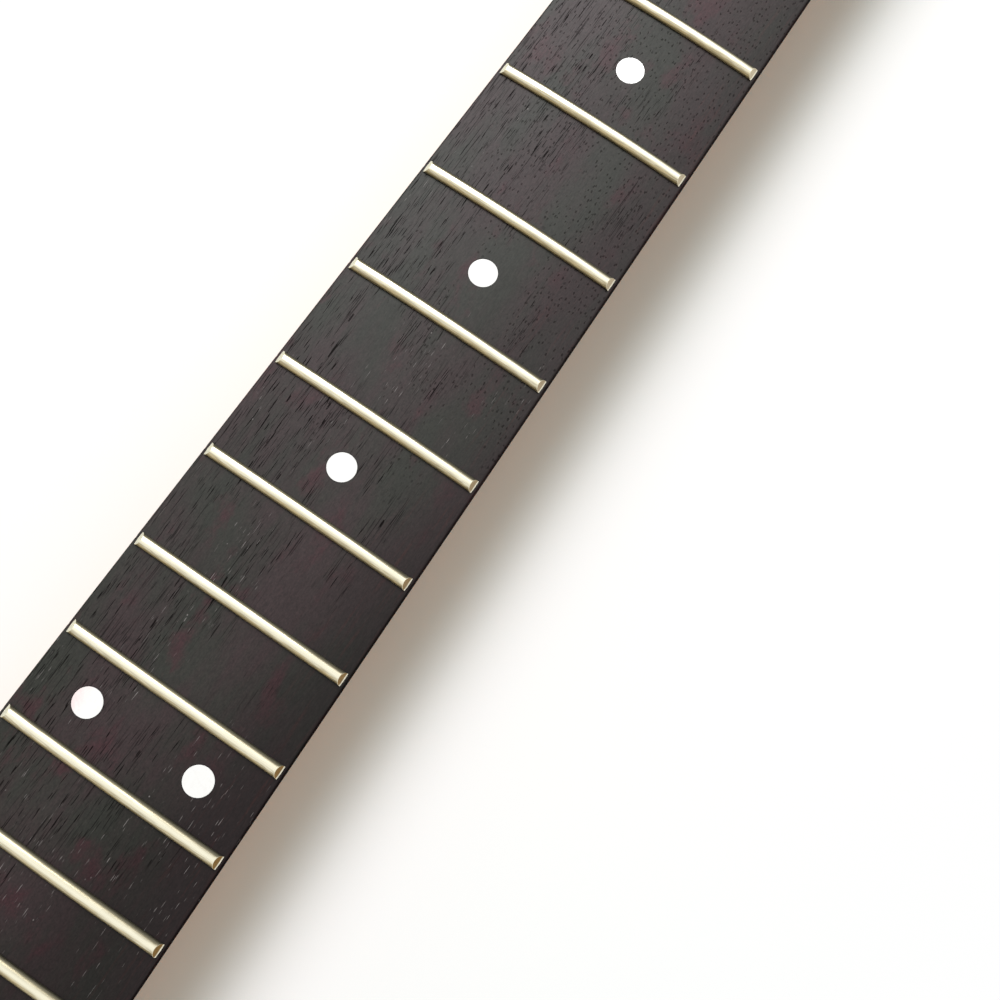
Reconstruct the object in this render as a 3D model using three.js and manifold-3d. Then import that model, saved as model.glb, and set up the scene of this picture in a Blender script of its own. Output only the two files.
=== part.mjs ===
// An electric guitar neck with a bolt-on heel, in millimetres.
// It lies on its back with the fingerboard up. X runs across it with the bass edge at -X,
// Y runs along it towards the headstock, and Z is up from the plane that the heel and the
// headstock rest on. The origin is the centre of the four screw holes in the heel's back.
import * as THREE from 'three';
import { mergeVertices, toCreasedNormals } from 'three/addons/utils/BufferGeometryUtils.js';
import Module from 'manifold-3d';

const wasm = await Module();
wasm.setup();

// Fingerboard
const scaleLength = 648;
const fretCount = 22;
const semitones = 12;
const nutWidth = 41.1;
const boardEndWidth = 55;
const boardRadius = 279;
const boardThickness = 6.1;
const boardPastLastFret = 6.3;
const boardTailEdge = 0.4;
const arrisRound = 0.6;

// Fret wire, which has a crown on top and a tang in a slot
const crownWidth = 2.7;
const crownHeight = 1.15;
const crownInset = 0.7;
const crownBevel = THREE.MathUtils.degToRad(35);
const crownGap = 0.05;
const tangWidth = 0.5;
const tangDepth = 1.6;
const tangInset = 0.35;
const slotSideGap = 0.06;
const slotFloorGap = 0.3;

// String nut
const nutThickness = 3.3;
const nutSeatDepth = 3;
const nutAboveBoard = 2.5;
const nutEdgeRound = 0.7;
const nutEndRound = 0.9;
const nutBackFall = 0.5;
const nutGap = 0.1;
const stringCount = 6;
const outerStringInset = 3.3;
const stringOverFret = 0.5;
const thickSlotWidth = 1.25;
const thinSlotWidth = 0.4;
const stringSlotFall = THREE.MathUtils.degToRad(7);

// Position dots on the board and on its bass side
const dotFrets = [3, 5, 7, 9, 12, 15, 17, 19, 21];
const dotDiameter = 6;
const dotThickness = 1.8;
const dotPairSpacing = 25.5;
const sideDotDiameter = 2.2;
const sideDotLength = 2.4;
const sideDotDrop = 4.2;
const sideDotPairSpacing = 6.5;
const inlayGap = 0.08;
const inlayRecess = 0.02;

// Maple blank: heel, shaft and headstock in one piece
const heelThickness = 19.05;
const heelLength = 76.2;
const heelCornerRadius = 6;
const boardOverhang = 9;
const heelBlend = 36;
const shaftDepthFirst = 21;
const shaftDepthTwelfth = 22.6;
const profileExponent = 2.15;
const squareExponent = 24;
const headCarveLength = 52;
const headstockDrop = 4.75;
const coveFromNut = 1.5;
const coveRadius = 30;
const flareLip = 0.6;

// Screw pilot holes in the heel's back
const screwSpacingAcross = 38.1;
const screwSpacingAlong = 50.8;
const pilotDiameter = 3.2;
const pilotDepth = 14;
const pilotTip = 0.9;

// Headstock outline and tuner bores
const tunerPitch = 25.4;
const tunerBore = 10;
const tunerPostRadius = 3;
const firstTunerFromNut = 43;
const tunerToBassEdge = 12;
const edgePastLastTuner = 13;
const tipRadius = 15;
const tipTurn = THREE.MathUtils.degToRad(18);
const flareEndFromNut = 50;
const trebleShoulder = 22.5;
const trebleSweep = 46;
const flareHandleShare = 0.42;
const edgeRound = 2.6;
const edgeRoundAtCove = 0.9;
const edgeRoundRun = 24;
const edgeRoundStep = 0.01;
const shaftEndInset = 0.3;

// Truss rod, set in a channel under the board and turned from behind the nut
const barWidth = 6;
const barHeight = 4.4;
const rodDiameter = 5;
const trussBlockLength = 12;
const trussBlockWall = 0.9;
const trussGap = 0.3;
const headBlockFromNut = 3;
const channelToHeelEnd = 20;
const adjusterDiameter = 7;
const adjusterLength = 14;
const adjusterSeatDepth = 4;
const adjusterSideGap = 0.8;
const pocketFromNut = 1.8;
const rodSeatGap = 0.1;
const socketAcrossFlats = 4;
const socketDepth = 7;
const keyRoom = 15;

// Every cutting tool passes the face that it opens by this much
const overrun = 2;

// Facets round each kind of curve
const profileSteps = 28;
const blendSteps = 11;
const flareSteps = 14;
const flareStepsCarved = 8;
const cornerSteps = 3;
const edgeRoundSteps = 2;
const coveSteps = 10;
const boardSteps = 10;
const fretSteps = 8;
const crownSteps = 6;
const outlineSteps = 15;
const pocketSteps = 10;
const boreFacets = 24;
const dotFacets = 20;
const smallFacets = 12;

// Places along the neck, from the nut's face and from the origin
const fretFromNut = (fret) => scaleLength * (1 - 2 ** (-fret / semitones));
const boardEndFromNut = fretFromNut(fretCount) + boardPastLastFret;
const heelEndFromNut = boardEndFromNut - boardOverhang;
const nutY = heelEndFromNut - heelLength / 2;
const heelEndY = -heelLength / 2;
const heelFlatEndY = heelLength / 2;
const boardEndY = nutY - boardEndFromNut;
const fretY = (fret) => nutY - fretFromNut(fret);
const taperSlope = (boardEndWidth - nutWidth) / 2 / boardEndFromNut;
const halfWidthAt = (y) => nutWidth / 2 + taperSlope * (nutY - y);

// Heights
const glueZ = heelThickness;
const boardTopZ = glueZ + boardThickness;
const headstockZ = glueZ - headstockDrop;

// The cove behind the nut, a hollow arc that leaves the headstock's face and cuts the board's tail
const coveRun = (z) => Math.sqrt(coveRadius ** 2 - (coveRadius - (z - headstockZ)) ** 2);
const coveStartY = nutY + nutThickness + coveFromNut;
const coveEndY = coveStartY + coveRun(boardTopZ);
const boardTailY = coveEndY - coveRun(glueZ + boardTailEdge);

// Curves across the board
const boardZ = (x) => boardTopZ - boardRadius + Math.sqrt(boardRadius ** 2 - x ** 2);
const stringSpacing = (nutWidth - 2 * outerStringInset) / (stringCount - 1);
const stringX = (string) => (string - (stringCount - 1) / 2) * stringSpacing;

const along = new THREE.Vector3(0, 1, 0);
const flattenUp = (point) => new THREE.Vector2(point.x, point.y);
const flattenAcross = (point) => new THREE.Vector2(point.y, point.z);
const flattenAlong = (point) => new THREE.Vector2(point.z, point.x);

// Joins equal rings of points into one closed skin, with a cap on the first and the last
function loft(rings, flatten) {
  const count = rings[0].length;
  const last = (rings.length - 1) * count;
  const faces = [];
  for (let start = 0; start < last; start += count) {
    for (let side = 0; side < count; side++) {
      const a = start + side;
      const b = start + (side + 1) % count;
      faces.push(a, b, b + count, a, b + count, a + count);
    }
  }
  for (const [a, b, c] of THREE.ShapeUtils.triangulateShape(rings[0].map(flatten), [])) {
    faces.push(a, c, b, last + a, last + b, last + c);
  }
  const geometry = new THREE.BufferGeometry().setFromPoints(rings.flat());
  geometry.setIndex(faces);
  return geometry;
}

// Shares the vertices of a ready-made geometry, before anything moves or turns it
function weld(geometry) {
  geometry.deleteAttribute('normal');
  geometry.deleteAttribute('uv');
  return mergeVertices(geometry);
}

// Turns a closed geometry with shared vertices into a solid that can be joined and cut
function solid(geometry) {
  const vertProperties = Float32Array.from(geometry.attributes.position.array);
  const triVerts = Uint32Array.from(geometry.index.array);
  return new wasm.Manifold(new wasm.Mesh({ numProp: 3, vertProperties, triVerts }));
}

// An outline in the XY plane raised by a depth
function raise(shape, depth, curveSegments) {
  return weld(new THREE.ExtrudeGeometry(shape, { depth, bevelEnabled: false, curveSegments }));
}

// Turns a solid back into a geometry
function geometryOf(body) {
  const { vertProperties, triVerts } = body.getMesh();
  const geometry = new THREE.BufferGeometry();
  geometry.setAttribute('position', new THREE.Float32BufferAttribute(vertProperties, 3));
  geometry.setIndex([...triVerts]);
  return geometry;
}

// A box tool between two corners
function boxTool(x0, x1, y0, y1, z0, z1) {
  const box = weld(new THREE.BoxGeometry(x1 - x0, y1 - y0, z1 - z0));
  return solid(box.translate((x0 + x1) / 2, (y0 + y1) / 2, (z0 + z1) / 2));
}

// A disc or rod whose top face is centred at a point and faces a direction
function pinGeometry(radius, length, top, direction, facets) {
  const pin = weld(new THREE.CylinderGeometry(radius, radius, length, facets));
  pin.translate(0, -length / 2, 0);
  pin.applyQuaternion(new THREE.Quaternion().setFromUnitVectors(along, direction));
  return pin.translate(top.x, top.y, top.z);
}

function named(name, geometry, colour, roughness, metalness) {
  const material = new THREE.MeshStandardMaterial({ color: colour, roughness, metalness });
  const mesh = new THREE.Mesh(toCreasedNormals(geometry, THREE.MathUtils.degToRad(30)), material);
  mesh.name = name;
  return mesh;
}

// Flare of the headstock: both edges share their places along Y, so one ring joins them
const lineAngle = Math.asin(stringSpacing / tunerPitch);
const lineDirection = new THREE.Vector2(Math.sin(lineAngle), Math.cos(lineAngle));
const bassNormal = new THREE.Vector2(-lineDirection.y, lineDirection.x);
const firstTuner = new THREE.Vector2(stringX(0) - tunerPostRadius, nutY + firstTunerFromNut);
const tunerAt = (string) => firstTuner.clone().addScaledVector(lineDirection, string * tunerPitch);
const bassEdge = firstTuner.clone().addScaledVector(bassNormal, tunerToBassEdge);
const flareStartY = boardTailY + flareLip;
const flareEndY = nutY + flareEndFromNut;
const flareHandle = (flareEndY - flareStartY) * flareHandleShare;

function flareCurve(startX, startSlope, endX, endSlope) {
  return new THREE.CubicBezierCurve(
    new THREE.Vector2(startX, flareStartY),
    new THREE.Vector2(startX + startSlope * flareHandle, flareStartY + flareHandle),
    new THREE.Vector2(endX - endSlope * flareHandle, flareEndY - flareHandle),
    new THREE.Vector2(endX, flareEndY),
  );
}

const bassFlareEndX = bassEdge.x + (flareEndY - bassEdge.y) * Math.tan(lineAngle);
const flareStartX = halfWidthAt(flareStartY);
const bassFlare = flareCurve(-flareStartX, taperSlope, bassFlareEndX, Math.tan(lineAngle));
const trebleFlare = flareCurve(flareStartX, -taperSlope, trebleShoulder, 0);
const bassPoint = (step) => bassFlare.getPoint(step / flareSteps);
const treblePoint = (step) => trebleFlare.getPoint(step / flareSteps);

// How far the blank is carved: 0 is the square heel or headstock, 1 is the round shaft
const headCarveEndY = bassPoint(flareStepsCarved - 1).y;
const headCarveStartY = headCarveEndY - headCarveLength;
function carveAt(y) {
  const fromHeel = THREE.MathUtils.smoothstep(y, heelFlatEndY, heelFlatEndY + heelBlend);
  const toHead = THREE.MathUtils.smoothstep(y, headCarveStartY, headCarveEndY);
  return fromHeel * (1 - toHead);
}

function backZ(y) {
  const depth = THREE.MathUtils.mapLinear(
    y, fretY(1), fretY(semitones), shaftDepthFirst, shaftDepthTwelfth);
  return carveAt(y) * (boardTopZ - depth);
}

// One cross-section of the blank: a superellipse that grows square as the carving fades out,
// but keeps eased corners
function blankRing(y, bassHalf, trebleHalf, inset) {
  const power = Math.min(profileExponent / carveAt(y), squareExponent);
  const depth = glueZ - backZ(y) - inset;
  const ring = [];
  for (let step = 0; step <= profileSteps; step++) {
    const angle = Math.PI * step / profileSteps;
    const across = Math.abs(Math.cos(angle));
    const down = Math.sin(angle);
    const reach = (across ** power + down ** power) ** (1 / power);
    const half = step < profileSteps / 2 ? trebleHalf - inset : inset - bassHalf;
    ring.push(new THREE.Vector3(half * across / reach, y, glueZ - depth * down / reach));
  }
  return ring;
}

function shaftRings() {
  const rings = [];
  for (let step = 0; step < cornerSteps; step++) {
    const turn = Math.PI / 2 * step / cornerSteps;
    const y = heelEndY + heelCornerRadius * (1 - Math.cos(turn));
    const half = halfWidthAt(y) - heelCornerRadius * (1 - Math.sin(turn));
    rings.push(blankRing(y, half, half, 0));
  }
  const places = [heelEndY + heelCornerRadius];
  for (let step = 0; step <= blendSteps; step++) {
    places.push(heelFlatEndY + heelBlend * step / blendSteps);
  }
  for (let step = 0; step < blendSteps; step++) {
    places.push(headCarveStartY + (flareStartY - headCarveStartY) * step / blendSteps);
  }
  for (const y of places) rings.push(blankRing(y, halfWidthAt(y), halfWidthAt(y), 0));
  for (let step = 0; step <= flareStepsCarved; step++) {
    // The last ring lies just inside the headstock
    const inset = step < flareStepsCarved ? 0 : shaftEndInset;
    rings.push(blankRing(bassPoint(step).y, -bassPoint(step).x, treblePoint(step).x, inset));
  }
  return rings;
}

// The headstock's outline, from the carved flare round the tip and back
function headstockShape() {
  const tipStart = tunerAt(stringCount - 1)
    .addScaledVector(bassNormal, tunerToBassEdge)
    .addScaledVector(lineDirection, edgePastLastTuner);
  const tip = tipStart.clone().addScaledVector(bassNormal, -tipRadius);
  const tipEnd = new THREE.Vector2(Math.cos(tipTurn), -Math.sin(tipTurn)).multiplyScalar(tipRadius).add(tip);
  const leave = new THREE.Vector2(-Math.sin(tipTurn), -Math.cos(tipTurn)).multiplyScalar(trebleSweep).add(tipEnd);
  const shape = new THREE.Shape();
  const start = bassPoint(flareStepsCarved - 1);
  shape.moveTo(start.x, start.y);
  for (let step = flareStepsCarved; step <= flareSteps; step++) {
    shape.lineTo(bassPoint(step).x, bassPoint(step).y);
  }
  shape.lineTo(tipStart.x, tipStart.y);
  shape.absarc(tip.x, tip.y, tipRadius, Math.PI - lineAngle, -tipTurn, true);
  shape.bezierCurveTo(
    leave.x, leave.y, trebleShoulder, flareEndY + trebleSweep, trebleShoulder, flareEndY);
  for (let step = flareSteps - 1; step >= flareStepsCarved - 1; step--) {
    shape.lineTo(treblePoint(step).x, treblePoint(step).y);
  }
  return shape;
}

// The headstock with its edges rounded over, less so where they run into the cove
function headstockPlate() {
  const outline = headstockShape().getPoints(outlineSteps).reverse()
    .filter((point, place, all) => point.distanceTo(all.at(place - 1)) > edgeRoundStep);
  const points = outline.map((point, place) => {
    const before = outline.at(place - 1);
    const after = outline[(place + 1) % outline.length];
    const side = after.clone().sub(point).normalize().add(point.clone().sub(before).normalize());
    const grown = THREE.MathUtils.smoothstep(point.y, headCarveEndY, headCarveEndY + edgeRoundRun);
    const radius = edgeRoundAtCove + (edgeRound - edgeRoundAtCove) * grown;
    return { point, out: new THREE.Vector2(side.y, -side.x).normalize(), radius };
  });
  const ringAt = (turn, fromBottom) => points.map(({ point, out, radius }) => {
    const rim = point.clone().addScaledVector(out, -radius * (1 - Math.sin(turn)));
    const rise = radius * (1 - Math.cos(turn));
    return new THREE.Vector3(rim.x, rim.y, fromBottom ? rise : headstockZ - rise);
  });
  const rings = [];
  for (let step = 0; step <= edgeRoundSteps; step++) {
    rings.push(ringAt(Math.PI / 2 * step / edgeRoundSteps, true));
  }
  for (let step = edgeRoundSteps; step >= 0; step--) {
    rings.push(ringAt(Math.PI / 2 * step / edgeRoundSteps, false));
  }
  return loft(rings, flattenUp);
}

// Truss rod heights, from the glue line down
const barTopZ = glueZ - trussGap;
const barBottomZ = barTopZ - barHeight;
const rodZ = barBottomZ - trussGap - rodDiameter / 2;
const blockBottomZ = rodZ - rodDiameter / 2 - trussGap - trussBlockWall;
const channelFloorZ = blockBottomZ - trussGap;
const channelEndY = heelEndY + channelToHeelEnd;
const heelBlockY = channelEndY + trussGap;
const barStartY = heelBlockY + trussBlockLength;
const headBlockY = nutY - headBlockFromNut - trussBlockLength;
const pocketStartY = nutY + nutThickness + pocketFromNut;
const adjusterY = pocketStartY + adjusterSideGap;
const pocketHalf = adjusterDiameter / 2 + adjusterSideGap;
const pocketRoundY = adjusterY + adjusterLength + keyRoom - pocketHalf;
const pocketFloorZ = rodZ - adjusterDiameter / 2 - adjusterSideGap;

// Everything above the cove and the headstock's face
function coveTool() {
  const tipY = tunerAt(stringCount - 1).y + edgePastLastTuner + 2 * tipRadius;
  const reach = nutWidth + tunerToBassEdge + tipRadius;
  const topTurn = Math.acos(1 - (boardTopZ - headstockZ) / coveRadius);
  const profile = [[coveStartY, boardTopZ + overrun]];
  for (let step = 0; step <= coveSteps; step++) {
    const turn = topTurn * (1 - step / coveSteps);
    profile.push([
      coveEndY - coveRadius * Math.sin(turn),
      headstockZ + coveRadius * (1 - Math.cos(turn)),
    ]);
  }
  profile.push([tipY, headstockZ], [tipY, boardTopZ + overrun]);
  const rings = [-reach, reach].map((x) => profile.map(([y, z]) => new THREE.Vector3(x, y, z)));
  return solid(loft(rings, flattenAcross));
}

// The routed pocket that the truss adjuster lies in, with a round end
function pocketTool() {
  const shape = new THREE.Shape();
  shape.moveTo(-pocketHalf, pocketStartY);
  shape.lineTo(pocketHalf, pocketStartY);
  shape.absarc(0, pocketRoundY, pocketHalf, 0, Math.PI, false);
  const pocket = raise(shape, boardTopZ + overrun - pocketFloorZ, pocketSteps);
  return solid(pocket.translate(0, 0, pocketFloorZ));
}

// A drilled pilot hole with a pointed end
function pilotTool(x, y) {
  const radius = pilotDiameter / 2;
  const profile = [[0, -overrun], [radius, -overrun], [radius, pilotDepth - pilotTip], [0, pilotDepth]];
  const hole = weld(new THREE.LatheGeometry(profile.map(([r, h]) => new THREE.Vector2(r, h)), smallFacets));
  return solid(hole.rotateX(Math.PI / 2).translate(x, y, 0));
}

function neckBlank() {
  const half = barWidth / 2 + trussGap;
  let blank = solid(loft(shaftRings(), flattenAlong)).add(solid(headstockPlate()));
  blank = blank.subtract(coveTool());
  blank = blank.subtract(
    boxTool(-half, half, channelEndY, pocketStartY + overrun, channelFloorZ, glueZ + overrun));
  blank = blank.subtract(pocketTool());
  for (let string = 0; string < stringCount; string++) {
    const top = new THREE.Vector3(tunerAt(string).x, tunerAt(string).y, glueZ);
    const bore = pinGeometry(
      tunerBore / 2, glueZ + overrun, top, new THREE.Vector3(0, 0, 1), boreFacets);
    blank = blank.subtract(solid(bore));
  }
  for (const x of [-screwSpacingAcross / 2, screwSpacingAcross / 2]) {
    for (const y of [-screwSpacingAlong / 2, screwSpacingAlong / 2]) {
      blank = blank.subtract(pilotTool(x, y));
    }
  }
  return geometryOf(blank);
}

// One cross-section of the board: flat below, a long arc on top and a rounded edge each side
function boardRing(y) {
  const half = halfWidthAt(y);
  const flat = half - arrisRound;
  const edgeZ = boardZ(flat);
  const ring = [new THREE.Vector3(-half, y, glueZ)];
  for (let step = 0; step <= cornerSteps - 1; step++) {
    const turn = Math.PI / 2 * step / cornerSteps;
    ring.push(new THREE.Vector3(
      -flat - arrisRound * Math.cos(turn), y, edgeZ - arrisRound * (1 - Math.sin(turn))));
  }
  for (let step = 0; step <= boardSteps; step++) {
    const x = flat * (2 * step / boardSteps - 1);
    ring.push(new THREE.Vector3(x, y, boardZ(x)));
  }
  for (let step = cornerSteps - 1; step >= 0; step--) {
    const turn = Math.PI / 2 * step / cornerSteps;
    ring.push(new THREE.Vector3(
      flat + arrisRound * Math.cos(turn), y, edgeZ - arrisRound * (1 - Math.sin(turn))));
  }
  ring.push(new THREE.Vector3(half, y, glueZ));
  return ring;
}

// Where each position dot sits: one at most frets, two at the octave
const dotPlaces = [];
for (const fret of dotFrets) {
  const middle = (fretY(fret - 1) + fretY(fret)) / 2;
  const shifts = fret % semitones === 0 ? [-1, 1] : [0];
  for (const shift of shifts) {
    const suffix = shifts.length > 1 ? (shift < 0 ? 'a' : 'b') : '';
    const label = String(fret).padStart(2, '0') + suffix;
    const x = shift * dotPairSpacing / 2;
    const up = new THREE.Vector3(x, 0, Math.sqrt(boardRadius ** 2 - x ** 2)).normalize();
    const sideY = middle - shift * sideDotPairSpacing / 2;
    dotPlaces.push({
      label,
      top: new THREE.Vector3(x, middle, boardZ(x)),
      up,
      side: new THREE.Vector3(-halfWidthAt(sideY), sideY, boardTopZ - sideDotDrop),
    });
  }
}
const sideOut = new THREE.Vector3(-1, taperSlope, 0).normalize();

// A dot, or the larger hole that it is glued into
function inlay(diameter, length, top, out, facets, hole) {
  const radius = diameter / 2 + (hole ? inlayGap : 0);
  const rise = hole ? overrun : -inlayRecess;
  const depth = hole ? length + inlayGap + inlayRecess + overrun : length;
  return pinGeometry(radius, depth, top.clone().addScaledVector(out, rise), out, facets);
}

function fingerboard() {
  const rings = [boardRing(boardEndY), boardRing(boardTailY)];
  const reach = boardEndWidth;
  let board = solid(loft(rings, flattenAlong));
  const slotHalf = tangWidth / 2 + slotSideGap;
  for (let fret = 1; fret <= fretCount; fret++) {
    const y = fretY(fret);
    const floor = boardZ(halfWidthAt(y)) - tangDepth - slotFloorGap;
    board = board.subtract(
      boxTool(-reach, reach, y - slotHalf, y + slotHalf, floor, boardTopZ + overrun));
  }
  board = board.subtract(boxTool(
    -reach, reach, nutY, nutY + nutThickness, boardTopZ - nutSeatDepth, boardTopZ + overrun));
  for (const { top, up, side } of dotPlaces) {
    board = board.subtract(solid(inlay(dotDiameter, dotThickness, top, up, dotFacets, true)));
    board = board.subtract(
      solid(inlay(sideDotDiameter, sideDotLength, side, sideOut, smallFacets, true)));
  }
  return geometryOf(board.subtract(coveTool()).subtract(pocketTool()));
}

// A fret bent to the board's arc, its crown's ends bevelled and its tang short of the edges
function fretGeometry(fret) {
  const half = halfWidthAt(fretY(fret));
  const crown = (height) => half - crownInset - (height - crownGap) * Math.tan(crownBevel);
  const profile = [
    [-tangWidth / 2, -tangDepth, half - tangInset],
    [tangWidth / 2, -tangDepth, half - tangInset],
    [tangWidth / 2, crownGap, crown(crownGap)],
  ];
  for (let step = 0; step <= crownSteps; step++) {
    const angle = Math.PI * step / crownSteps;
    const height = crownGap + crownHeight * Math.sin(angle);
    profile.push([crownWidth / 2 * Math.cos(angle), height, crown(height)]);
  }
  profile.push([-tangWidth / 2, crownGap, crown(crownGap)]);
  const rings = [];
  for (let step = 0; step <= fretSteps; step++) {
    const share = 2 * step / fretSteps - 1;
    rings.push(profile.map(([y, height, end]) => (
      new THREE.Vector3(share * end, y, boardZ(share * end) + height))));
  }
  return loft(rings, flattenAcross);
}

// The string nut: its top follows the board's arc, with rounded ends and six slots
function nutGeometry() {
  const half = nutWidth / 2 - nutGap;
  const front = nutY;
  const back = nutY + nutThickness - nutGap;
  const floor = boardTopZ - nutSeatDepth;
  const places = [];
  for (let step = 0; step < cornerSteps; step++) {
    places.push(half - nutEndRound * (1 - Math.cos(Math.PI / 2 * step / cornerSteps)));
  }
  for (let step = 0; step <= boardSteps; step++) {
    places.push((half - nutEndRound) * (1 - 2 * step / boardSteps));
  }
  for (let step = cornerSteps - 1; step >= 0; step--) {
    places.push(-half + nutEndRound * (1 - Math.cos(Math.PI / 2 * step / cornerSteps)));
  }
  const rings = places.reverse().map((x) => {
    const past = Math.max(0, Math.abs(x) - half + nutEndRound) / nutEndRound;
    const drop = nutEndRound * (1 - Math.sqrt(1 - past ** 2));
    const top = boardZ(x) + nutAboveBoard - drop;
    const profile = [[front, floor], [back, floor]];
    for (let step = 0; step <= cornerSteps; step++) {
      const turn = Math.PI / 2 * step / cornerSteps;
      profile.push([
        back - nutEdgeRound * (1 - Math.cos(turn)),
        top - nutBackFall - nutEdgeRound * (1 - Math.sin(turn)),
      ]);
    }
    for (let step = 0; step <= cornerSteps; step++) {
      const turn = Math.PI / 2 * step / cornerSteps;
      profile.push([
        front + nutEdgeRound * (1 - Math.sin(turn)),
        top - nutEdgeRound * (1 - Math.cos(turn)),
      ]);
    }
    return profile.map(([y, z]) => new THREE.Vector3(x, y, z));
  });
  let nut = solid(loft(rings, flattenAcross));
  for (let string = 0; string < stringCount; string++) {
    nut = nut.subtract(stringSlotTool(string));
  }
  return geometryOf(nut);
}

// One string's slot, round below, falling away towards the headstock
function stringSlotTool(string) {
  const share = string / (stringCount - 1);
  const radius = thickSlotWidth / 2 * (thinSlotWidth / thickSlotWidth) ** share;
  const x = stringX(string);
  const shape = new THREE.Shape();
  shape.moveTo(-radius, nutAboveBoard + overrun);
  shape.absarc(0, radius, radius, Math.PI, 2 * Math.PI, false);
  shape.lineTo(radius, nutAboveBoard + overrun);
  const depth = nutThickness + 2 * overrun;
  const slot = raise(shape, depth, crownSteps);
  slot.translate(0, 0, -depth + overrun);
  slot.rotateX(Math.PI / 2 - stringSlotFall);
  return solid(slot.translate(x, nutY, boardZ(x) + crownHeight + stringOverFret));
}

// A brass block at one end of the truss rod, bored for the rod
function trussBlock(y) {
  const half = barWidth / 2;
  const bore = pinGeometry(
    rodDiameter / 2 + trussGap, trussBlockLength + 2 * overrun,
    new THREE.Vector3(0, trussBlockLength + overrun, 0), along, smallFacets);
  const block = boxTool(-half, half, 0, trussBlockLength, blockBottomZ - rodZ, barTopZ - rodZ);
  return geometryOf(block.subtract(solid(bore))).translate(0, y, 0);
}

// The barrel on the rod's end, with a seat for the rod and a hex socket for the key
function adjusterGeometry() {
  const barrel = pinGeometry(
    adjusterDiameter / 2, adjusterLength, new THREE.Vector3(0, adjusterLength, 0), along, boreFacets);
  const seat = pinGeometry(
    rodDiameter / 2 + rodSeatGap, adjusterSeatDepth + overrun,
    new THREE.Vector3(0, adjusterSeatDepth, 0), along, boreFacets);
  const socket = pinGeometry(
    socketAcrossFlats / Math.sqrt(3), socketDepth + overrun,
    new THREE.Vector3(0, adjusterLength + overrun, 0), along, 6);
  return geometryOf(solid(barrel).subtract(solid(seat)).subtract(solid(socket)));
}

const maple = (name, geometry) => named(name, geometry, 0xc97a1e, 0.25, 0);
const rosewood = (name, geometry) => named(name, geometry, 0x3a2a28, 0.55, 0);
const nickel = (name, geometry) => named(name, geometry, 0xc8bfa8, 0.25, 1);
const pearl = (name, geometry) => named(name, geometry, 0xeeeae2, 0.3, 0);
const bone = (name, geometry) => named(name, geometry, 0xe9e0c8, 0.4, 0);
const brass = (name, geometry) => named(name, geometry, 0xb08d3e, 0.35, 1);
const steel = (name, geometry) => named(name, geometry, 0x8b8d90, 0.35, 1);

const neck = new THREE.Group();
neck.add(maple('neck_blank', neckBlank()));
neck.add(rosewood('fingerboard', fingerboard()));
neck.add(bone('string_nut', nutGeometry()));

const frets = new THREE.Group();
for (let fret = 1; fret <= fretCount; fret++) {
  const mesh = nickel(`fret_${String(fret).padStart(2, '0')}`, fretGeometry(fret));
  mesh.position.y = fretY(fret);
  frets.add(mesh);
}
neck.add(frets);

const dots = new THREE.Group();
for (const { label, top, up, side } of dotPlaces) {
  dots.add(pearl(`dot_${label}`, inlay(dotDiameter, dotThickness, top, up, dotFacets, false)));
  dots.add(pearl(
    `side_dot_${label}`, inlay(sideDotDiameter, sideDotLength, side, sideOut, smallFacets, false)));
}
neck.add(dots);

// The truss rod's parts hang from its axis
const truss = new THREE.Group();
truss.position.z = rodZ;
const barLength = headBlockY - barStartY;
const bar = steel('truss_bar', new THREE.BoxGeometry(barWidth, barLength, barHeight));
bar.position.set(0, barStartY + barLength / 2, barBottomZ + barHeight / 2 - rodZ);
truss.add(bar);
truss.add(brass('truss_block_heel', trussBlock(heelBlockY)));
truss.add(brass('truss_block_head', trussBlock(headBlockY)));

const rodEndY = adjusterY + adjusterSeatDepth;
const rodLength = rodEndY - heelBlockY;
const rodTop = new THREE.Vector3(0, rodEndY, 0);
truss.add(steel('truss_rod', pinGeometry(rodDiameter / 2, rodLength, rodTop, along, boreFacets)));
const adjuster = steel('truss_adjuster', adjusterGeometry());
adjuster.position.y = adjusterY;
truss.add(adjuster);
neck.add(truss);

export default neck;
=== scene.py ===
from math import acos, asin, atan2, cos, pi, radians, sin, sqrt, tan

import bmesh
import bpy
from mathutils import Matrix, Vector


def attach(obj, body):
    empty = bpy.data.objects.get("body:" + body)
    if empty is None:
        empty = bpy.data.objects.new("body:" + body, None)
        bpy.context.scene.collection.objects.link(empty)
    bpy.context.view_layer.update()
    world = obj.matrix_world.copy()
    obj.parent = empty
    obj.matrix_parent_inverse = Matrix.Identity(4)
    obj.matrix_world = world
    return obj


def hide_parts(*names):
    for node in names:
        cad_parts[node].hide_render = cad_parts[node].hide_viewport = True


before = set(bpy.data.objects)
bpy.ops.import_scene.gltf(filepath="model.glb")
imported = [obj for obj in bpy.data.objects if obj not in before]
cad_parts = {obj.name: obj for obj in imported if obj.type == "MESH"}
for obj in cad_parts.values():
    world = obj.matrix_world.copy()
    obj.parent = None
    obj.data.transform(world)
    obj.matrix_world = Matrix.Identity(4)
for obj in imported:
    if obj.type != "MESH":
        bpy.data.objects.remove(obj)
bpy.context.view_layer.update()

# Sizes are in millimetres, as on the drawing, and MM turns them into metres
MM = 0.001

# Fingerboard
SCALE_LENGTH = 648
FRET_COUNT = 22
SEMITONES = 12
NUT_Y = 425.36
NUT_WIDTH = 41.1
BOARD_END_WIDTH = 55
BOARD_THICKNESS = 6.1
BOARD_RADIUS = 279
BOARD_OVERHANG = 9
BOARD_TAIL_EDGE = 0.4
ARRIS = 0.6
NUT_SLOT = 3.3
NUT_SEAT = 3

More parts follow.
